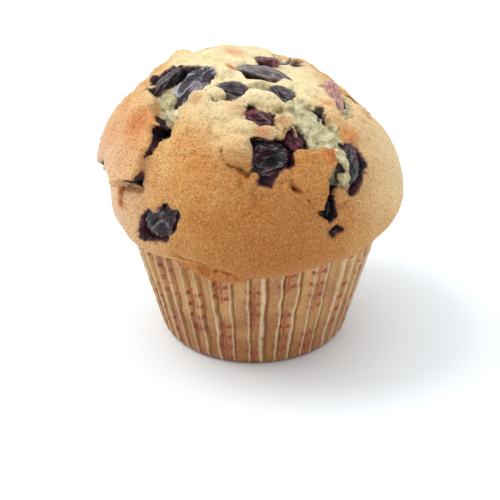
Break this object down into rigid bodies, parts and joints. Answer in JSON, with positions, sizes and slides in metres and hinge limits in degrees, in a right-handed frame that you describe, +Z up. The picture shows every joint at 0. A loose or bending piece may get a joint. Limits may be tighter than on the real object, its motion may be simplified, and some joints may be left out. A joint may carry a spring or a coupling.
{
  "type": "muffin",
  "caption": "Baked fruit muffin: a domed, cracked cake with blueberries showing in its crown, standing in a pleated flared paper case.",
  "frame": {"origin": "centre of the paper case's flat round underside, which the muffin stands on", "axes": "+Z up through the crown; -Y is the front, the side with the large whole crust panel; +X is the right seen from the front"},
  "size_m": [0.0835, 0.083, 0.0782],
  "materials": {
    "crust": "matte",
    "paper": "satin",
    "berry": "satin"
  },
  "bodies": {
    "root": {"cake": "crust", "paper_case": "paper", "berry_left_cleft": "berry", "berry_left_cleft_lower": "berry", "berry_left_shoulder": "berry", "berry_low_left": "berry", "berry_centre": "berry", "berry_centre_upper": "berry", "berry_centre_right": "berry", "berry_crown_left": "berry", "berry_crown_right": "berry", "berry_crown_top": "berry", "berry_crown_back": "berry", "berry_upper_right": "berry", "berry_right_cleft": "berry", "berry_right_low": "berry", "berry_right_streak": "berry", "berry_right_side": "berry", "berry_back_right": "berry", "berry_back_middle": "berry", "berry_back_left": "berry", "berry_back_low": "berry"}
  },
  "joints": []
}
